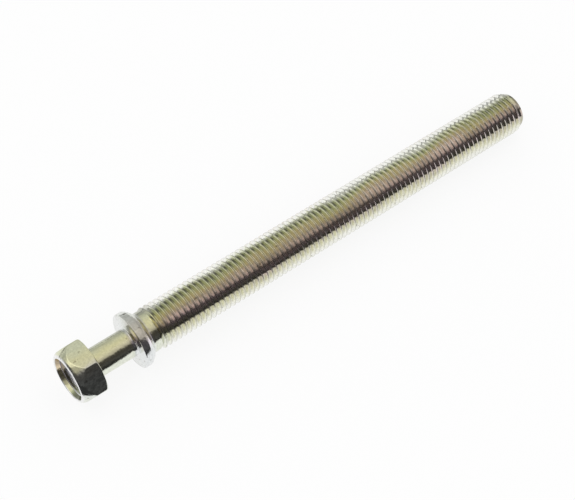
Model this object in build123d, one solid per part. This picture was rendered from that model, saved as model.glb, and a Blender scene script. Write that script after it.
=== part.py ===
"""Idler pulley adjusting bolt, M10 x 1.25, cold headed in one piece.

The bolt lies along +X from head to tip. The origin is on its axis at the face
under the head, +Z is up and the hexagon lies with a flat down. Millimetres.
"""
from build123d import *
import math
import os

# Hexagon head with an indented top
HEX_ACROSS_FLATS = 11.8
HEX_EDGE_RADIUS = 0.35
HEAD_HEIGHT = 5.6
RIM_RADIUS = 5.25
RIM_WIDTH = 0.35
RIM_ROUNDING = 0.3
SHOULDER_DROP = 0.35
CORNER_CONE_SLOPE = 0.5
UNDERSIDE_RADIUS = 6.1
UNDERSIDE_BEVEL = 0.45
DISH_DEPTH = 1.1
DISH_FLOOR_RADIUS = 4.45
DISH_FLOOR_ROUNDING = 0.25

# Plain neck between the head and the collar
NECK_DIAMETER = 6.4
NECK_LENGTH = 9.45
NECK_HEAD_FILLET = 0.3
NECK_COLLAR_FILLET = 0.5

# Round collar: flat front, short land, back that rolls down to the shank
COLLAR_DIAMETER = 12.6
COLLAR_LAND = 1.4
COLLAR_LENGTH = 3.1
COLLAR_EDGE_RADIUS = 0.3
COLLAR_BACK_FILLET = 0.4

# Shank: blank diameter behind the collar, then the thread's outer cylinder
BLANK_DIAMETER = 9.2
BLANK_LENGTH = 1.0
RUNOUT_LENGTH = 0.65
THREAD_DIAMETER = 9.85
THREAD_LENGTH = 101.5
TIP_DIAMETER = 8.1
TIP_CHAMFER_LENGTH = 1.9

NODE = "idler_pulley_bolt"

collar_front = NECK_LENGTH
collar_back = collar_front + COLLAR_LENGTH
runout_start = collar_back + BLANK_LENGTH
thread_start = runout_start + RUNOUT_LENGTH
tip_face = thread_start + THREAD_LENGTH


def bolt_section(x, radius):
    """A point of the half section: x along the bolt, radius from its axis."""
    return (x, 0, radius)


def rounded(section, x, radius, rounding):
    """Fillet the corner of a half section that lies nearest to x and radius."""
    corner = section.vertices().sort_by_distance(bolt_section(x, radius))[0]
    return fillet(corner, rounding)


def head_envelope():
    """Turned outline that trims the hexagon's corners and sinks the dish."""
    corner_radius = HEX_ACROSS_FLATS / math.sqrt(3)
    envelope_radius = corner_radius + 0.2
    top = -HEAD_HEIGHT
    shoulder_x = top + SHOULDER_DROP
    shoulder_radius = RIM_RADIUS + SHOULDER_DROP
    cone_length = (envelope_radius - shoulder_radius) / CORNER_CONE_SLOPE
    outline = Polyline(
        bolt_section(0, 0),
        bolt_section(0, UNDERSIDE_RADIUS),
        bolt_section(-UNDERSIDE_BEVEL, envelope_radius),
        bolt_section(shoulder_x + cone_length, envelope_radius),
        bolt_section(shoulder_x, shoulder_radius),
        bolt_section(top, RIM_RADIUS),
        bolt_section(top, RIM_RADIUS - RIM_WIDTH),
        bolt_section(top + DISH_DEPTH, DISH_FLOOR_RADIUS),
        bolt_section(top + DISH_DEPTH, 0),
        close=True,
    )
    section = make_face(outline)
    section = rounded(section, shoulder_x, shoulder_radius, RIM_ROUNDING)
    section = rounded(section, top, RIM_RADIUS, RIM_ROUNDING)
    section = rounded(section, top, RIM_RADIUS - RIM_WIDTH, RIM_ROUNDING / 2)
    section = rounded(section, top + DISH_DEPTH, DISH_FLOOR_RADIUS, DISH_FLOOR_ROUNDING)
    return revolve(section, Axis.X, 360)


def head():
    """Hexagon prism with rounded edges, cut to the turned envelope."""
    hexagon = RegularPolygon(HEX_ACROSS_FLATS / 2, 6, major_radius=False)
    hexagon = fillet(hexagon.vertices(), HEX_EDGE_RADIUS)
    prism = extrude(Plane.YZ * hexagon, -HEAD_HEIGHT)
    return prism & head_envelope()


def shank():
    """Neck, collar, blank length and thread cylinder, turned as one section."""
    neck_radius = NECK_DIAMETER / 2
    collar_radius = COLLAR_DIAMETER / 2
    blank_radius = BLANK_DIAMETER / 2
    thread_radius = THREAD_DIAMETER / 2
    land_end = collar_front + COLLAR_LAND
    back_bulge = bolt_section(
        (land_end + 2 * collar_back) / 3,
        (2 * collar_radius + blank_radius) / 3,
    )
    front = Polyline(
        bolt_section(-HEAD_HEIGHT / 2, 0),
        bolt_section(-HEAD_HEIGHT / 2, neck_radius),
        bolt_section(collar_front, neck_radius),
        bolt_section(collar_front, collar_radius),
        bolt_section(land_end, collar_radius),
    )
    back = ThreePointArc(
        bolt_section(land_end, collar_radius),
        back_bulge,
        bolt_section(collar_back, blank_radius),
    )
    thread = Polyline(
        bolt_section(collar_back, blank_radius),
        bolt_section(runout_start, blank_radius),
        bolt_section(thread_start, thread_radius),
        bolt_section(tip_face - TIP_CHAMFER_LENGTH, thread_radius),
        bolt_section(tip_face, TIP_DIAMETER / 2),
        bolt_section(tip_face, 0),
    )
    axis_line = Line(bolt_section(tip_face, 0), bolt_section(-HEAD_HEIGHT / 2, 0))
    section = make_face([*front.edges(), back, *thread.edges(), axis_line])
    section = rounded(section, collar_front, neck_radius, NECK_COLLAR_FILLET)
    section = rounded(section, collar_front, collar_radius, COLLAR_EDGE_RADIUS)
    section = rounded(section, collar_back, blank_radius, COLLAR_BACK_FILLET)
    return revolve(section, Axis.X, 360)


def one_piece():
    """Head and shank as one forging, filleted where the neck leaves the head."""
    forging = head() + shank()
    neck_root = forging.edges().filter_by(GeomType.CIRCLE).sort_by_distance(
        bolt_section(0, NECK_DIAMETER / 2)
    )[0]
    return fillet(neck_root, NECK_HEAD_FILLET)


bolt = one_piece()
os.makedirs("parts", exist_ok=True)
export_step(bolt, f"parts/{NODE}.step")
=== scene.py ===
"""Idler pulley adjusting bolt in yellow zinc plated steel, lying on a pale floor.

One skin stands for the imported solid. It repeats the solid's sections, adds the rolled M10 x 1.25
thread and lets it begin a little farther behind the collar than the solid does. The bolt lies
along +X with its head at -X, the origin is on its axis at the face under the head, and a flat of
the hexagon is down. Sections are in millimetres.
"""
import math

import bmesh
import bpy
from mathutils import Matrix, Vector


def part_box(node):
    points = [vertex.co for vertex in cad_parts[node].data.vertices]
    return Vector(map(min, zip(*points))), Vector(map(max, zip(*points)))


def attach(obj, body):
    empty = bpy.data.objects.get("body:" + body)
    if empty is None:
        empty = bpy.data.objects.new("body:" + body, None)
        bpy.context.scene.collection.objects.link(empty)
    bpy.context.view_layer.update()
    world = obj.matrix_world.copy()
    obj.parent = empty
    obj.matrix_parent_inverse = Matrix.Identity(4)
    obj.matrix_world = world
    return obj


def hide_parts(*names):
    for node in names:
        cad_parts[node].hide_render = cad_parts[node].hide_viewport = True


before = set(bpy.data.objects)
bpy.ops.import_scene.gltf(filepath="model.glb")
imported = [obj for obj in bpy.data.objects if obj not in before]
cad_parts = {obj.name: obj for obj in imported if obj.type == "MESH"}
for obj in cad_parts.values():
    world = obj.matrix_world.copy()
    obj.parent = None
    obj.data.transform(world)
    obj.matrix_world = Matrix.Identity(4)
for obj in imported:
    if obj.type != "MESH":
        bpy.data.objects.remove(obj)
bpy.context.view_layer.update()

NODE = "idler_pulley_bolt"
MM = 0.001
BOLT_LOW, BOLT_HIGH = (Vector(corner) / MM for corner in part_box(NODE))

# Hexagon head with an indented top. A slope is the radius gained for each millimetre along the axis
HEAD_TOP = BOLT_LOW.x
HEX_APOTHEM = 5.9
HEX_EDGE_RADIUS = 0.35
RIM_RADIUS = 5.25
RIM_WIDTH = 0.35
RIM_ROUNDING = 0.3
RIM_INNER_ROUNDING = 0.15
SHOULDER_DROP = 0.35
CORNER_CONE_SLOPE = 0.5
UNDERSIDE_RADIUS = 6.1
UNDERSIDE_ROUNDING = 0.12
DISH_DEPTH = 1.1
DISH_FLOOR_RADIUS = 4.45
DISH_FLOOR_ROUNDING = 0.25
DISH_FLOOR_RINGS = (1.5, 3.0)
DISH_OFFSET = 0.2
DISH_OFFSET_AWAY_FROM = math.radians(110)
CREASE_SOFTNESS = 0.1
# Rows of points down the head's side: shares of the cone, distances from its crease, shares of the
# flats and degrees round the underside's edge
CONE_ROW_SHARES = (0.25, 0.5)
CREASE_ROW_OFFSETS = (-0.2, -0.1, 0.0, 0.1, 0.2, 0.35)
FLAT_ROW_SHARES = (0.4, 0.7, 1.0)
UNDERSIDE_ROW_TURNS = (18, 36, 54, 72, 90)

# Neck, collar and blank
NECK_RADIUS = 3.2
NECK_LENGTH = 9.45
NECK_HEAD_FILLET = 0.3
NECK_COLLAR_FILLET = 0.5
COLLAR_RADIUS = BOLT_HIGH.z
COLLAR_LAND = 1.4
COLLAR_LENGTH = 3.1
COLLAR_EDGE_RADIUS = 0.3
COLLAR_BACK_BULGE = 0.22
COLLAR_BACK_STEPS = 10
COLLAR_BACK_FILLET = 0.2
UNDER_HEAD_RADIUS = 5.2
BLANK_RADIUS = 4.6
BLANK_LENGTH = 1.7

# Thread
THREAD_RADIUS = 4.925
PITCH = 1.25
THREAD_DEPTH = 0.767
# (distance from the crest's middle along the pitch, depth below the crest), to the root's rounding
HALF_SECTION = ((0.03, 0.0), (0.11, 0.05), (0.494, 0.705), (0.56, 0.752))
RUNOUT_LENGTH = 0.5
GROOVE_FADE_LENGTH = 0.45
TIP_FACE = BOLT_HIGH.x
TIP_RADIUS = 4.05
TIP_CHAMFER_LENGTH = 1.9
FIRST_CREST = 14.91
FIRST_CREST_ANGLE = math.radians(70)

# Places along the axis, and a radius, that follow from the sizes above
SHOULDER = HEAD_TOP + SHOULDER_DROP
SHOULDER_RADIUS = RIM_RADIUS + SHOULDER_DROP
DISH_FLOOR = HEAD_TOP + DISH_DEPTH
COLLAR_FRONT = NECK_LENGTH
COLLAR_LAND_END = COLLAR_FRONT + COLLAR_LAND
COLLAR_BACK = COLLAR_FRONT + COLLAR_LENGTH
RUNOUT_START = COLLAR_BACK + BLANK_LENGTH
CHAMFER_START = TIP_FACE - TIP_CHAMFER_LENGTH

# Columns of points run along the bolt, at these degrees to both sides of the hexagon's six corners
CORNER_SPREAD = (0.8, 1.6, 3.0, 6.0, 11.0, 17.0, 23.5)
FULL_TURN = 2 * math.pi
CORNER_TO_FLAT = math.pi / 6
SHARP_EDGE = math.radians(38)


def column_angles():
    """Angles round the axis, from +Y towards +Z, where the hexagon's corners are at 60 degree steps."""
    sector = [-step for step in reversed(CORNER_SPREAD)] + [0.0] + list(CORNER_SPREAD) + [30.0]
    return [math.radians(60 * corner + step) for corner in range(6) for step in sector]


COLUMNS = column_angles()


class Skin:
    """Points and faces of the bolt, gathered row by row from the head to the tip."""

    def __init__(self):
        self.points = []
        self.faces = []

    def point(self, x, radius, angle):
        self.points.append((x, radius * math.cos(angle), radius * math.sin(angle)))
        return len(self.points) - 1

    def row(self, place):
        """One point for each column, where place gives (x, radius) for the column's angle."""
        return [self.point(*place(angle), angle) for angle in COLUMNS]

    def circle(self, x, radius):
        return self.row(lambda angle: (x, radius))

    def face(self, *corners):
        """A face without the corners that fall together, or nothing where fewer than three are left."""
        kept = [c for i, c in enumerate(corners) if c != corners[i - 1]]
        if len(kept) > 2:
            self.faces.append(kept)

    def bridge(self, row, following):
        """Faces from one row to the next one nearer the tip."""
        for i in range(len(COLUMNS)):
            j = (i + 1) % len(COLUMNS)
            self.face(row[i], row[j], following[j], following[i])

    def cap(self, x, row, faces_head):
        """Closes a row with a fan round a point on the axis."""
        centre = self.point(x, 0.0, 0.0)
        for i in range(len(COLUMNS)):
            j = (i + 1) % len(COLUMNS)
            self.face(*((centre, row[j], row[i]) if faces_head else (centre, row[i], row[j])))


def round_corners(outline, steps=4):
    """Points (x, radius) of an outline whose corners (x, radius, rounding) are rounded by tangent arcs."""
    points = []
    for i, (x, radius, rounding) in enumerate(outline):
        corner = Vector((x, radius))
        if not rounding:
            points.append(corner)
            continue
        back = (Vector(outline[i - 1][:2]) - corner).normalized()
        ahead = (Vector(outline[i + 1][:2]) - corner).normalized()
        half = back.angle(ahead) / 2
        centre = corner + (back + ahead).normalized() * rounding / math.sin(half)
        start = corner + back * rounding / math.tan(half) - centre
        end = corner + ahead * rounding / math.tan(half) - centre
        points += [centre + start.slerp(end, step / steps) * rounding for step in range(steps + 1)]
    return points


def hexagon_radius(angle):
    """Distance from the axis to the hexagon's side, whose corners are rounded."""
    from_corner = abs((angle + CORNER_TO_FLAT) % (2 * CORNER_TO_FLAT) - CORNER_TO_FLAT)
    centre = (HEX_APOTHEM - HEX_EDGE_RADIUS) / math.cos(CORNER_TO_FLAT)
    tangent = math.atan2(
        HEX_EDGE_RADIUS * math.sin(CORNER_TO_FLAT),
        centre + HEX_EDGE_RADIUS * math.cos(CORNER_TO_FLAT))
    if from_corner < tangent:
        reach = HEX_EDGE_RADIUS ** 2 - (centre * math.sin(from_corner)) ** 2
        return centre * math.cos(from_corner) + math.sqrt(reach)
    return HEX_APOTHEM / math.cos(CORNER_TO_FLAT - from_corner)


def soft_minimum(a, b, softness):
    """The smaller of two values, with the change from one to the other rounded."""
    overlap = max(softness - abs(a - b), 0.0) / softness
    return min(a, b) - overlap ** 2 * softness / 4


def dish_shift(radius, angle):
    """The forged dish sits a little off the axis, which leaves the rim wider on one side."""
    inside = min(max((RIM_RADIUS - radius) / RIM_WIDTH, 0.0), 1.0)
    return -DISH_OFFSET * inside * math.cos(angle - DISH_OFFSET_AWAY_FROM)


def head_top_rows(skin):
    """Rows from the dish floor up the dish wall and over the rim to the shoulder."""
    outline = round_corners([(DISH_FLOOR, ring, 0) for ring in DISH_FLOOR_RINGS] + [
        (DISH_FLOOR, DISH_FLOOR_RADIUS, DISH_FLOOR_ROUNDING),
        (HEAD_TOP, RIM_RADIUS - RIM_WIDTH, RIM_INNER_ROUNDING),
        (HEAD_TOP, RIM_RADIUS, RIM_ROUNDING),
        (SHOULDER, SHOULDER_RADIUS, 0),
    ])
    return [
        skin.row(lambda angle, x=x, radius=radius: (x, radius + dish_shift(radius, angle)))
        for x, radius in outline
    ]


def cone_end(angle):
    """Where the cone that rounds off the hexagon's corners meets the hexagon's side."""
    return SHOULDER + (hexagon_radius(angle) - SHOULDER_RADIUS) / CORNER_CONE_SLOPE


def underside_depth(angle):
    """How far the rounding of the underside's edge reaches, more towards the corners."""
    return UNDERSIDE_ROUNDING + max(hexagon_radius(angle) - UNDERSIDE_RADIUS, 0.0)


def head_side_rows(skin):
    """Rows from the shoulder down the corner cone and the flats to the underside."""
    def on_cone(share, offset):
        def place(angle):
            x = SHOULDER + (cone_end(angle) - SHOULDER) * share + offset
            cone = SHOULDER_RADIUS + (x - SHOULDER) * CORNER_CONE_SLOPE
            return x, soft_minimum(cone, hexagon_radius(angle), CREASE_SOFTNESS)
        return place

    def on_flat(share):
        return lambda angle: (
            cone_end(angle) * (1 - share) - underside_depth(angle) * share, hexagon_radius(angle))

    def on_rounding(turn):
        inward = 1 - math.cos(math.radians(turn))
        onward = 1 - math.sin(math.radians(turn))
        return lambda angle: (
            -onward * underside_depth(angle), hexagon_radius(angle) - inward * underside_depth(angle))

    places = [on_cone(share, 0.0) for share in CONE_ROW_SHARES]
    places += [on_cone(1.0, offset) for offset in CREASE_ROW_OFFSETS]
    places += [on_flat(share) for share in FLAT_ROW_SHARES]
    places += [on_rounding(turn) for turn in UNDERSIDE_ROW_TURNS]
    return [skin.row(place) for place in places]


def arc_between(start, through, end, steps):
    """Points on the circle through three points, without the first."""
    a, b, c = (Vector(p) for p in (start, through, end))
    d = 2 * (a.x * (b.y - c.y) + b.x * (c.y - a.y) + c.x * (a.y - b.y))
    aa, bb, cc = a.length_squared, b.length_squared, c.length_squared
    centre = Vector((
        (aa * (b.y - c.y) + bb * (c.y - a.y) + cc * (a.y - b.y)) / d,
        (aa * (c.x - b.x) + bb * (a.x - c.x) + cc * (b.x - a.x)) / d,
    ))
    radius = (a - centre).length
    shares = [step / steps for step in range(1, steps + 1)]
    return [centre + (a - centre).slerp(c - centre, share) * radius for share in shares]


def shank_rows(skin):
    """Rows of the neck, the collar and the plain blank up to the thread's run-out."""
    front = round_corners([
        (0.0, UNDER_HEAD_RADIUS, 0),
        (0.0, NECK_RADIUS, NECK_HEAD_FILLET),
        (COLLAR_FRONT, NECK_RADIUS, NECK_COLLAR_FILLET),
        (COLLAR_FRONT, COLLAR_RADIUS, COLLAR_EDGE_RADIUS),
        (COLLAR_LAND_END, COLLAR_RADIUS, 0),
    ])
    middle = Vector((COLLAR_LAND_END + COLLAR_BACK, COLLAR_RADIUS + BLANK_RADIUS)) / 2
    outward = Vector((COLLAR_RADIUS - BLANK_RADIUS, COLLAR_BACK - COLLAR_LAND_END)).normalized()
    back = arc_between(
        (COLLAR_LAND_END, COLLAR_RADIUS), middle + outward * COLLAR_BACK_BULGE,
        (COLLAR_BACK, BLANK_RADIUS), COLLAR_BACK_STEPS)
    base = round_corners([
        (*back[-2], 0),
        (COLLAR_BACK, BLANK_RADIUS, COLLAR_BACK_FILLET),
        (RUNOUT_START, BLANK_RADIUS, 0),
    ])
    return [skin.circle(x, radius) for x, radius in front + back[:-2] + base]


def crest_radius(x):
    """Radius of the thread's outer form: the run-out, the cylinder and the tip's chamfer."""
    rise = BLANK_RADIUS + (x - RUNOUT_START) / RUNOUT_LENGTH * (THREAD_RADIUS - BLANK_RADIUS)
    fall = TIP_RADIUS + (TIP_FACE - x) / TIP_CHAMFER_LENGTH * (THREAD_RADIUS - TIP_RADIUS)
    return min(rise, THREAD_RADIUS, fall)


def thread_section():
    """(offset along the pitch, depth below the crest) over one pitch, with the crest in the middle."""
    before_crest = [(-offset, depth) for offset, depth in reversed(HALF_SECTION)]
    return [*before_crest, *HALF_SECTION, (PITCH / 2, THREAD_DEPTH)]


def thread_columns(skin, first_row, last_row):
    """Columns of the thread between two rows. Each column is farther along the helix than the last."""
    section = thread_section()
    # The turns reach past both rows, and the points out there fall together with the rows' own
    turns = range(-2, math.ceil((TIP_FACE - FIRST_CREST) / PITCH) + 2)
    columns = []
    for i, angle in enumerate(COLUMNS):
        column = []
        for turn in turns:
            crest = FIRST_CREST + ((angle - FIRST_CREST_ANGLE) / FULL_TURN + turn) * PITCH
            for offset, depth in section:
                x = crest + offset
                if x <= RUNOUT_START:
                    column.append(first_row[i])
                elif x >= TIP_FACE:
                    column.append(last_row[i])
                else:
                    fade = min((x - RUNOUT_START) / GROOVE_FADE_LENGTH, 1.0)
                    groove = THREAD_RADIUS - depth * fade
                    column.append(skin.point(x, min(groove, crest_radius(x)), angle))
        columns.append(column)
    # After a full turn the last column meets the first one a pitch farther along
    one_pitch_on = columns[0][len(section):]
    for column, following in zip(columns, columns[1:] + [one_pitch_on]):
        for k in range(len(following) - 1):
            skin.face(column[k], following[k], following[k + 1], column[k + 1])


def bolt_mesh():
    """The whole skin, closed, from the dish floor to the tip face."""
    skin = Skin()
    rows = head_top_rows(skin) + head_side_rows(skin) + shank_rows(skin)
    for row, following in zip(rows, rows[1:]):
        skin.bridge(row, following)
    skin.cap(DISH_FLOOR, rows[0], faces_head=True)
    tip = skin.circle(TIP_FACE, TIP_RADIUS)
    thread_columns(skin, rows[-1], tip)
    tip_middle = skin.circle(TIP_FACE, TIP_RADIUS / 2)
    skin.bridge(tip, tip_middle)
    skin.cap(TIP_FACE, tip_middle, faces_head=False)
    mesh = bpy.data.meshes.new(NODE + "_skin")
    mesh.from_pydata(skin.points, [], skin.faces)
    mesh.validate()
    mesh.polygons.foreach_set("use_smooth", [True] * len(mesh.polygons))
    mesh.set_sharp_from_angle(angle=SHARP_EDGE)
    return mesh


# Shader nodes

WHITE = (1.0, 1.0, 1.0)
# A Mix node's sockets for colours
MIX_FACTOR, MIX_A, MIX_B = 0, 6, 7
MIX_RESULT = 2


def add(tree, kind, inputs=None, **properties):
    """A node with its properties set, and with its inputs set or linked from another node's output."""
    made = tree.nodes.new(kind)
    for name, value in properties.items():
        setattr(made, name, value)
    for name, source in (inputs or {}).items():
        if isinstance(source, bpy.types.NodeSocket):
            tree.links.new(source, made.inputs[name])
        else:
            made.inputs[name].default_value = source
    return made


def maths(tree, operation, *values):
    return add(tree, "ShaderNodeMath", dict(enumerate(values)), operation=operation).outputs[0]


def span(tree, value, low, high, to_low=0.0, to_high=1.0):
    """The value brought from one span to another and held there. A span may run downwards."""
    return add(tree, "ShaderNodeMapRange", {
        "Value": value, "From Min": low, "From Max": high, "To Min": to_low, "To Max": to_high,
    }).outputs["Result"]


def noise(tree, coordinates, scale, detail, roughness):
    return add(tree, "ShaderNodeTexNoise", {
        "Vector": coordinates, "Scale": scale, "Detail": detail, "Roughness": roughness,
    }).outputs["Fac"]


def opaque(colour):
    return (*colour, 1.0)


def greys(stops):
    """Stops of (position, level) as stops of (position, colour)."""
    return [(position, (level,) * 3) for position, level in stops]


def ramp(tree, factor, stops):
    """A colour ramp with stops of (position, colour)."""
    made = add(tree, "ShaderNodeValToRGB", {"Fac": factor})
    elements = made.color_ramp.elements
    while len(elements) < len(stops):
        elements.new(0.5)
    for element, (position, colour) in zip(elements, stops):
        element.position = position
        element.color = opaque(colour)
    return made.outputs["Color"]


def mix(tree, factor, a, b, blend="MIX"):
    """Colour a where the factor is 0 and b where it is 1."""
    sockets = {MIX_FACTOR: factor, MIX_A: a, MIX_B: b}
    return add(tree, "ShaderNodeMix", sockets, data_type="RGBA", blend_type=blend).outputs[MIX_RESULT]


def shade(tree, factor, colour, tint):
    """The colour where the factor is 0, and the colour times the tint where it is 1."""
    return mix(tree, factor, colour, tint, "MULTIPLY")


def separate(tree, vector):
    """The vector's X, Y and Z."""
    return add(tree, "ShaderNodeSeparateXYZ", {"Vector": vector}).outputs


def emission(tree, colour, strength=1.0):
    return add(tree, "ShaderNodeEmission", {"Color": colour, "Strength": strength}).outputs[0]


def empty_material(name):
    """A material with no nodes yet, and its node tree."""
    material = bpy.data.materials.new(name)
    material.use_nodes = True
    material.node_tree.nodes.clear()
    return material, material.node_tree


# Yellow zinc plating

# (direction round the axis in degrees from straight up towards the front, colour of the passivated zinc).
# Lighter and darker directions are painted light and shade over the zinc's own hues
PLAIN_TINTS_AND_SHADING = (
    (-180, (0.84, 0.83, 0.66)), (-120, (0.87, 0.81, 0.60)), (-80, (0.55, 0.55, 0.46)),
    (-46, (0.44, 0.45, 0.36)), (-34, (0.52, 0.53, 0.41)), (-22, (0.75, 0.77, 0.54)),
    (10, (0.83, 0.79, 0.46)), (30, (0.85, 0.79, 0.54)), (46, (0.72, 0.66, 0.48)),
    (62, (0.76, 0.74, 0.60)), (82, (0.84, 0.87, 0.76)), (180, (0.84, 0.83, 0.66)),
)
HEAD_TINTS_AND_SHADING = (
    (-180, (0.84, 0.83, 0.66)), (-120, (0.87, 0.81, 0.60)), (-80, (0.76, 0.76, 0.58)),
    (-26, (0.74, 0.76, 0.54)), (0, (0.83, 0.80, 0.49)), (15, (0.83, 0.79, 0.52)),
    (27, (0.80, 0.76, 0.66)), (40, (0.79, 0.79, 0.74)), (62, (0.80, 0.83, 0.79)),
    (82, (0.84, 0.87, 0.82)), (180, (0.84, 0.83, 0.66)),
)
COLLAR_TINTS_AND_SHADING = (
    (-180, (0.86, 0.87, 0.85)), (-60, (0.88, 0.89, 0.88)), (-25, (0.74, 0.76, 0.70)),
    (0, (0.58, 0.56, 0.49)), (15, (0.71, 0.66, 0.55)), (32, (0.80, 0.72, 0.62)),
    (50, (0.96, 0.88, 0.94)), (72, (0.86, 0.88, 0.88)), (180, (0.86, 0.87, 0.85)),
)
THREAD_TINTS_AND_SHADING = (
    (-180, (0.82, 0.84, 0.66)), (-120, (0.88, 0.78, 0.62)), (-45, (0.99, 0.99, 0.95)),
    (-29, (0.97, 0.98, 0.88)), (-21, (0.82, 0.83, 0.68)), (-14, (0.64, 0.66, 0.47)),
    (-4, (0.67, 0.675, 0.45)), (9, (0.73, 0.67, 0.455)), (22, (0.74, 0.655, 0.53)),
    (33, (0.88, 0.77, 0.68)), (42, (1.0, 0.86, 0.79)), (50, (1.0, 0.86, 0.85)),
    (64, (0.76, 0.73, 0.62)), (82, (0.88, 0.87, 0.70)), (110, (0.98, 0.98, 0.92)),
    (180, (0.82, 0.84, 0.66)),
)
DISH_WALL_TINTS_AND_SHADING = (
    (-180, (0.40, 0.42, 0.26)), (-150, (0.80, 0.76, 0.48)), (-115, (0.80, 0.66, 0.46)),
    (-98, (0.45, 0.37, 0.26)), (-58, (0.42, 0.34, 0.25)), (-40, (0.86, 0.85, 0.83)),
    (90, (0.90, 0.90, 0.90)), (118, (0.60, 0.60, 0.56)), (140, (0.16, 0.17, 0.15)),
    (180, (0.40, 0.42, 0.26)),
)
# (the same direction, share of the light kept) at the thread's roots and on its crests, as painted shade
ROOT_PAINTED_SHADE = (
    (-180, 0.8), (-60, 0.95), (-30, 0.85), (-18, 0.35), (-10, 0.3), (-2, 0.8), (20, 0.95), (50, 1.0),
    (80, 0.85), (180, 0.8),
)
CREST_PAINTED_SHADE = (
    (-180, 0.9), (-60, 0.75), (-14, 0.9), (-6, 1.0), (8, 1.0), (26, 0.65), (42, 0.4), (60, 0.35),
    (74, 0.8), (180, 0.9),
)
RIM_TINT = (0.93, 0.93, 0.92)
# Painted light and shade on the dish floor, from silver to dark
DISH_FLOOR_SHADING = ((0.0, (0.88, 0.88, 0.90)), (1.0, (0.20, 0.19, 0.23)))
TIP_TINT = (0.62, 0.60, 0.56)
TIP_FACE_TINT = (0.74, 0.71, 0.56)
GRAIN = ((0.34, 0.82), (0.66, 1.0))
SPECKS = ((0.26, (0.6, 0.58, 0.55)), (0.3, WHITE))

# Where a finish, with its painted light and shade, sets in along the axis, from nothing to all of it
NECK_FINISH = (-0.3, 0.2)
COLLAR_FINISH = (COLLAR_FRONT - 1.0, COLLAR_FRONT - 0.5)
BLANK_FINISH = (COLLAR_BACK, COLLAR_BACK + 0.5)
THREAD_FINISH = (RUNOUT_START - 0.3, RUNOUT_START + 3)
THREAD_SHADE_SETS_IN = (RUNOUT_START, RUNOUT_START + 0.4)
TIP_FINISH = (TIP_FACE - 1.6, TIP_FACE - 0.5)
TIP_FACE_FINISH = (TIP_FACE - 0.06, TIP_FACE - 0.02)
RIM_FINISH = (HEAD_TOP + 0.45, HEAD_TOP + 0.15)
DISH_SHADING_SETS_IN = (HEAD_TOP + 0.12, HEAD_TOP + 0.25)
DISH_FLOOR_SHADING_SETS_IN = (HEAD_TOP + 0.95, HEAD_TOP + 1.05)
DISH_SHADING_ENDS = (HEAD_TOP + 1.3, HEAD_TOP + 1.2)
# The same by distance from the axis
DISH_SHADING_RADII = (5.1, 5.05)
# The same by share of the way from the thread's root to its crest
ROOT_HEIGHTS = (0.35, 0.05)
CREST_HEIGHTS = (0.86, 0.95)

# A noise is (features per millimetre, detail, roughness), and nearly all of it lies in NOISE_MIDDLE
NOISE_MIDDLE = (0.3, 0.7)
GRAIN_NOISE = (2.0, 4, 0.65)
SPECK_NOISE = (0.9, 2, 0.4)
# Bloom moves the tints, and the painted light and shade in them, round the axis by these shares of a turn,
# in patches drawn out along it
BLOOM_NOISE = (0.25, 3, 0.55)
BLOOM_STRETCH = (0.35, 1.0, 1.0)
BLOOM_SHIFT = (-0.035, 0.035)
# The painted shade on the dish floor deepens over these millimetres towards the back, and a little upwards
DISH_SHADE_NOISE = (0.7, 2, 0.5)
DISH_SHADE_SHIFT = (-0.5, 0.5)
DISH_SHADE_TO_BACK = 0.9
DISH_SHADE_UPWARDS = 0.15
DISH_SHADE_EDGE = (-1.6, 0.8)
GLOSS_NOISE = (1.1, 5, 0.6)
ROUGHNESS = (0.1, 0.2)
THREAD_ROUGHNESS_ADDED = -0.03
# The relief is the fine relief plus the swell times its strength, and its height is in millimetres
FINE_RELIEF_NOISE = (2.2, 6, 0.55)
SWELL_NOISE = (1.0, 1, 0.5)
SWELL_STRENGTH = 2.3
RELIEF_HEIGHT = 0.018
THREAD_RELIEF_SHARE = 0.25


def millimetres(tree, stretch=(1.0, 1.0, 1.0)):
    """The object's own coordinates in millimetres, stretched along an axis by a factor under 1."""
    place = add(tree, "ShaderNodeTexCoord").outputs["Object"]
    return add(tree, "ShaderNodeMapping", {
        "Vector": place, "Scale": [factor / MM for factor in stretch],
    }).outputs["Vector"]


def direction_round_axis(tree, axes):
    """0 to 1 for directions of -180 to 180 degrees, moved to and fro in patches along the axis."""
    front = maths(tree, "MULTIPLY", axes["Y"], -1.0)
    turn = span(tree, maths(tree, "ARCTAN2", front, axes["Z"]), -math.pi, math.pi)
    bloom = noise(tree, millimetres(tree, BLOOM_STRETCH), *BLOOM_NOISE)
    return maths(tree, "ADD", turn, span(tree, bloom, *NOISE_MIDDLE, *BLOOM_SHIFT))


def distance_from_axis(tree, axes):
    squares = [maths(tree, "MULTIPLY", axes[name], axes[name]) for name in "YZ"]
    return maths(tree, "SQRT", maths(tree, "ADD", *squares))


def around(tree, turn, tints):
    """The tint for the direction round the axis, from tints of (degrees, colour)."""
    return ramp(tree, turn, [((degrees + 180) / 360, tint) for degrees, tint in tints])


def dish_shading(tree, place, axes, turn):
    """The dish's wall, and its floor, silver with painted shade darkening it on one side."""
    to_back = maths(tree, "MULTIPLY", axes["Y"], DISH_SHADE_TO_BACK)
    upwards = maths(tree, "MULTIPLY", axes["Z"], DISH_SHADE_UPWARDS)
    uneven = span(tree, noise(tree, place, *DISH_SHADE_NOISE), *NOISE_MIDDLE, *DISH_SHADE_SHIFT)
    dish_shade = maths(tree, "ADD", maths(tree, "ADD", to_back, upwards), uneven)
    floor_shading = ramp(tree, span(tree, dish_shade, *DISH_SHADE_EDGE), DISH_FLOOR_SHADING)
    wall_shading = around(tree, turn, DISH_WALL_TINTS_AND_SHADING)
    return mix(tree, span(tree, axes["X"], *DISH_FLOOR_SHADING_SETS_IN), wall_shading, floor_shading)


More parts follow.
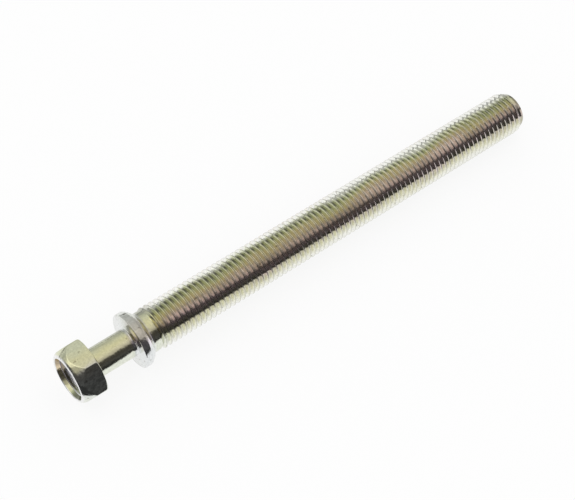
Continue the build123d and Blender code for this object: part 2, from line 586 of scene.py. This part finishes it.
def inside_dish(tree, axes, across):
    """1 on the dish's wall and floor, and 0 elsewhere."""
    below_rim = span(tree, axes["X"], *DISH_SHADING_SETS_IN)
    before_end = span(tree, axes["X"], *DISH_SHADING_ENDS)
    along = maths(tree, "MULTIPLY", below_rim, before_end)
    return maths(tree, "MULTIPLY", along, span(tree, across, *DISH_SHADING_RADII))


def thread_painted_shade(tree, axes, across, turn, colour):
    """The colour with painted shade, darker at the thread's roots and on its crests."""
    along = span(tree, axes["X"], *THREAD_SHADE_SETS_IN)
    height = span(tree, across, THREAD_RADIUS - THREAD_DEPTH, THREAD_RADIUS)
    for heights, kept_light in ((ROOT_HEIGHTS, ROOT_PAINTED_SHADE), (CREST_HEIGHTS, CREST_PAINTED_SHADE)):
        shaded = maths(tree, "MULTIPLY", along, span(tree, height, *heights))
        colour = shade(tree, shaded, colour, around(tree, turn, greys(kept_light)))
    return colour


def zinc_colour(tree, place, axes, threaded):
    """Straw yellow with olive and rose bloom, the tints of each form with painted light and shade by
    direction round the axis, painted shade in the dish and on the thread, fine grain and a few dark
    specks.
    """
    def sets_in(finish):
        return span(tree, axes["X"], *finish)

    turn = direction_round_axis(tree, axes)
    across = distance_from_axis(tree, axes)
    # Each form's tints carry painted light and shade by direction round the axis
    plain = around(tree, turn, PLAIN_TINTS_AND_SHADING)
    colour = mix(tree, sets_in(NECK_FINISH), around(tree, turn, HEAD_TINTS_AND_SHADING), plain)
    colour = mix(tree, sets_in(RIM_FINISH), colour, opaque(RIM_TINT))
    colour = mix(tree, inside_dish(tree, axes, across), colour, dish_shading(tree, place, axes, turn))
    colour = mix(tree, sets_in(COLLAR_FINISH), colour, around(tree, turn, COLLAR_TINTS_AND_SHADING))
    behind_collar = mix(tree, threaded, plain, around(tree, turn, THREAD_TINTS_AND_SHADING))
    colour = mix(tree, sets_in(BLANK_FINISH), colour, behind_collar)
    colour = shade(tree, sets_in(TIP_FINISH), colour, opaque(TIP_TINT))
    colour = thread_painted_shade(tree, axes, across, turn, colour)
    colour = mix(tree, sets_in(TIP_FACE_FINISH), colour, opaque(TIP_FACE_TINT))
    colour = shade(tree, 1.0, colour, ramp(tree, noise(tree, place, *GRAIN_NOISE), greys(GRAIN)))
    return shade(tree, 1.0, colour, ramp(tree, noise(tree, place, *SPECK_NOISE), SPECKS))


def zinc_roughness(tree, place, threaded):
    """Uneven gloss, a little glossier on the thread."""
    uneven = span(tree, noise(tree, place, *GLOSS_NOISE), *NOISE_MIDDLE, *ROUGHNESS)
    return maths(tree, "ADD", uneven, maths(tree, "MULTIPLY", threaded, THREAD_ROUGHNESS_ADDED))


def zinc_relief(tree, place, threaded):
    """Fine relief over a slow swell, both weaker on the thread."""
    swell = maths(tree, "MULTIPLY", noise(tree, place, *SWELL_NOISE), SWELL_STRENGTH)
    return add(tree, "ShaderNodeBump", {
        "Height": maths(tree, "ADD", noise(tree, place, *FINE_RELIEF_NOISE), swell),
        "Strength": span(tree, threaded, 0.0, 1.0, 1.0, THREAD_RELIEF_SHARE),
        "Distance": RELIEF_HEIGHT * MM,
    }).outputs["Normal"]


def yellow_zinc():
    """Passivated zinc plating."""
    material, tree = empty_material("yellow_zinc")
    place = millimetres(tree)
    axes = separate(tree, place)
    threaded = span(tree, axes["X"], *THREAD_FINISH)
    surface = add(tree, "ShaderNodeBsdfPrincipled", {
        "Base Color": zinc_colour(tree, place, axes, threaded),
        "Metallic": 1.0,
        "Roughness": zinc_roughness(tree, place, threaded),
        "Normal": zinc_relief(tree, place, threaded),
    })
    add(tree, "ShaderNodeOutputMaterial", {"Surface": surface.outputs["BSDF"]})
    return material


# The bolt

def with_weighted_normals(mesh):
    """The mesh with each corner's normal led by its larger faces, brought from millimetres to metres."""
    holder = bpy.data.objects.new("normals_holder", mesh)
    bpy.context.collection.objects.link(holder)
    holder.modifiers.new("normals_by_face_area", "WEIGHTED_NORMAL").keep_sharp = True
    graph = bpy.context.evaluated_depsgraph_get()
    weighted = bpy.data.meshes.new_from_object(holder.evaluated_get(graph))
    bpy.data.objects.remove(holder)
    weighted.transform(Matrix.Scale(MM, 4))
    return weighted


def bolt():
    """The bolt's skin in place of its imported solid."""
    piece = bpy.data.objects.new("bolt_with_thread", with_weighted_normals(bolt_mesh()))
    bpy.context.collection.objects.link(piece)
    piece.data.materials.append(yellow_zinc())
    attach(piece, "root")
    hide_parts(NODE)


# Studio, in metres. The apron, the side card and the dome show only in the metal

FLOOR_SIZE = 6.0
FLOOR_COLOUR = (0.93, 0.93, 0.93)
FLOOR_WHITE_SHARE = 0.85
# Outline of the floor that shows white in the metal; past it the metal shows dark cloth
WHITE_FLOOR = (
    (-0.2, -0.008), (-0.012, -0.009), (0.011, -0.0195), (0.024, -0.033), (0.083, -0.041),
    (0.2, -0.055), (0.2, 0.12), (-0.2, 0.12),
)
APRON_LEVEL = 0.035
APRON_LIFT = 0.0005
APRON_SIZE_BY_WHITE_FLOOR = 100.0
SIDE_CARD_DISTANCE = 0.3
SIDE_CARD_HEIGHT = 0.1
SIDE_CARD_REACH = (0.0, 0.4)
SIDE_CARD_LEVEL = 1.0

DOME_RADIUS = 1.5
DOME_SEGMENTS = 48
DOME_RINGS = 24
SOFTBOX_LEVEL = 0.74
SOFTBOX_FRONT_EDGE = Vector((0.59, 0.65, 0.47)).normalized()
SOFTBOX_SIDEWAYS = Vector((0.74, -0.67, 0.0)).normalized()
# (cosine to the direction named above, or height, and the share of the softbox's level)
SOFTBOX_FRONT_FADE = ((0.0, 0.06), (0.05, 0.52), (0.12, 0.78), (0.3, 0.93), (0.42, 1.0))
SOFTBOX_SIDE_FADE = ((0.3, 1.0), (0.55, 0.9), (0.76, 0.9), (0.88, 0.95), (1.0, 0.5))
SOFTBOX_HEIGHT_FADE = ((0.0, 1.0), (0.12, 0.95), (0.3, 0.66), (0.45, 0.72), (0.7, 0.9), (0.9, 1.0))
# The side wall grows from nothing to its level over these parts of the direction
SIDE_WALL_LEVEL = 0.4
SIDE_WALL_ALONG = (0.0, -0.25)
SIDE_WALL_HEIGHT = (0.58, 0.72)
# (features over the dome's radius, detail, roughness)
CLOTH_NOISE = (9.0, 3, 0.5)
CLOTH_LEVELS = ((0.32, 0.006), (0.68, 0.07))


def white_to_eye(tree, surface, share):
    """A shader that camera, glossy and transmission rays see partly as plain white."""
    path = add(tree, "ShaderNodeLightPath").outputs
    seen = path["Is Camera Ray"]
    for name in ("Is Glossy Ray", "Is Transmission Ray"):
        seen = maths(tree, "MAXIMUM", seen, path[name])
    white = emission(tree, opaque(WHITE))
    share = maths(tree, "MULTIPLY", seen, share)
    return add(tree, "ShaderNodeMixShader", {0: share, 1: surface, 2: white}).outputs[0]


def floor_material():
    material, tree = empty_material("pale_floor")
    paint = add(tree, "ShaderNodeBsdfDiffuse", {"Color": opaque(FLOOR_COLOUR)}).outputs[0]
    add(tree, "ShaderNodeOutputMaterial", {"Surface": white_to_eye(tree, paint, FLOOR_WHITE_SHARE)})
    return material


def glow_material(name, level):
    material, tree = empty_material(name)
    add(tree, "ShaderNodeOutputMaterial", {"Surface": emission(tree, opaque((level,) * 3))})
    return material


def overhead_glow(tree, direction):
    """A wide overhead light, whose level changes towards its front edge, sideways and with height."""
    def cosine(axis):
        vectors = {0: direction, 1: axis}
        return add(tree, "ShaderNodeVectorMath", vectors, operation="DOT_PRODUCT").outputs["Value"]

    glow = ramp(tree, cosine(SOFTBOX_FRONT_EDGE), greys(SOFTBOX_FRONT_FADE))
    sideways = ramp(tree, cosine(SOFTBOX_SIDEWAYS), greys(SOFTBOX_SIDE_FADE))
    upwards = ramp(tree, separate(tree, direction)["Z"], greys(SOFTBOX_HEIGHT_FADE))
    glow = shade(tree, 1.0, shade(tree, 1.0, glow, sideways), upwards)
    return emission(tree, glow, SOFTBOX_LEVEL)


def side_wall_glow(tree, direction):
    """A pale wall, high up beyond the bolt's head."""
    axes = separate(tree, direction)
    along = span(tree, axes["X"], *SIDE_WALL_ALONG, 0.0, SIDE_WALL_LEVEL)
    high = span(tree, axes["Z"], *SIDE_WALL_HEIGHT)
    return emission(tree, opaque(WHITE), maths(tree, "MULTIPLY", along, high))


def cloth_glow(tree, direction):
    """Dim mottled cloth all round."""
    return emission(tree, ramp(tree, noise(tree, direction, *CLOTH_NOISE), greys(CLOTH_LEVELS)))


def dome_material():
    """The overhead light, the side wall and the cloth, by direction from the bolt."""
    material, tree = empty_material("softbox_glow")
    place = add(tree, "ShaderNodeTexCoord").outputs["Object"]
    direction = add(tree, "ShaderNodeVectorMath", {0: place}, operation="NORMALIZE").outputs["Vector"]
    glow = overhead_glow(tree, direction)
    for other in (side_wall_glow(tree, direction), cloth_glow(tree, direction)):
        glow = add(tree, "ShaderNodeAddShader", {0: glow, 1: other}).outputs[0]
    add(tree, "ShaderNodeOutputMaterial", {"Surface": glow})
    return material


def staged(name, mesh, material):
    mesh.materials.append(material)
    card = bpy.data.objects.new(name, mesh)
    bpy.context.collection.objects.link(card)
    return card


def panel(name, points, faces, material):
    mesh = bpy.data.meshes.new(name)
    mesh.from_pydata(points, [], faces)
    return staged(name, mesh, material)


def only_reflected(card):
    """The card shows in the metal and nowhere else, and takes no light from the floor."""
    card.visible_camera = False
    card.visible_diffuse = False
    card.visible_transmission = False
    card.visible_volume_scatter = False
    card.visible_shadow = False


def on_floor(x, y, lift=0.0):
    """A point of the floor, on which the collar's rim and the thread's end rest, or a lift above it."""
    collar = Vector((COLLAR_LAND_END, 0, -COLLAR_RADIUS)) * MM
    thread_end = Vector((CHAMFER_START, 0, -THREAD_RADIUS)) * MM
    slope = (thread_end.z - collar.z) / (thread_end.x - collar.x)
    return (x, y, collar.z + (x - collar.x) * slope + lift)


def floor():
    """Pale floor under the collar's rim and the thread's end."""
    half = FLOOR_SIZE / 2
    corners = [(-half, -half), (half, -half), (half, half), (-half, half)]
    panel("floor", [on_floor(x, y) for x, y in corners], [(0, 1, 2, 3)], floor_material())


def dark_apron():
    """Dark cloth round the white floor."""
    inner = [on_floor(x, y, APRON_LIFT) for x, y in WHITE_FLOOR]
    far = [(x * APRON_SIZE_BY_WHITE_FLOOR, y * APRON_SIZE_BY_WHITE_FLOOR) for x, y in WHITE_FLOOR]
    outer = [on_floor(x, y, APRON_LIFT) for x, y in far]
    count = len(inner)
    faces = [(i, (i + 1) % count, (i + 1) % count + count, i + count) for i in range(count)]
    only_reflected(panel("dark_apron", inner + outer, faces, glow_material("dark_cloth", APRON_LEVEL)))


def side_card():
    """A white card that stands on the floor beyond the bolt's head."""
    near, far = SIDE_CARD_REACH
    corners = [(near, 0.0), (far, 0.0), (far, SIDE_CARD_HEIGHT), (near, SIDE_CARD_HEIGHT)]
    points = [on_floor(-SIDE_CARD_DISTANCE, y, height) for y, height in corners]
    only_reflected(panel("side_card", points, [(0, 1, 2, 3)], glow_material("side_card", SIDE_CARD_LEVEL)))


def dome():
    """The surround that the metal reflects: an overhead light, a side wall and cloth."""
    sphere = bmesh.new()
    bmesh.ops.create_uvsphere(
        sphere, u_segments=DOME_SEGMENTS, v_segments=DOME_RINGS, radius=DOME_RADIUS)
    mesh = bpy.data.meshes.new("softbox_dome")
    sphere.to_mesh(mesh)
    sphere.free()
    only_reflected(staged("softbox_dome", mesh, dome_material()))


def pale_world():
    world = bpy.data.worlds.new("pale_surround")
    world.use_nodes = True
    background = world.node_tree.nodes["Background"]
    background.inputs["Color"].default_value = opaque(WHITE)
    background.inputs["Strength"].default_value = 1.0
    bpy.context.scene.world = world


# Camera

CAMERA_LENS = 96.2
CAMERA_LOCATION = Vector((-77.6, -152.2, 262.1)) * MM
CAMERA_TARGET = Vector((49.6, -0.9, 0.0)) * MM
CAMERA_ROLL = math.radians(2.48)
CAMERA_CLIP_START = 0.01
CAMERA_CLIP_END = 20.0


def camera():
    """Looks down on the bolt from beside its head, so that the tip is the farther end."""
    data = bpy.data.cameras.new("camera")
    data.lens = CAMERA_LENS
    data.clip_start = CAMERA_CLIP_START
    data.clip_end = CAMERA_CLIP_END
    eye = bpy.data.objects.new("camera", data)
    bpy.context.collection.objects.link(eye)
    aim = (CAMERA_TARGET - CAMERA_LOCATION).to_track_quat("-Z", "Y").to_matrix().to_4x4()
    eye.matrix_world = Matrix.Translation(CAMERA_LOCATION) @ aim @ Matrix.Rotation(CAMERA_ROLL, 4, "Z")
    bpy.context.scene.camera = eye


bolt()
floor()
dark_apron()
side_card()
dome()
pale_world()
camera()
bpy.context.scene.view_settings.view_transform = "Standard"
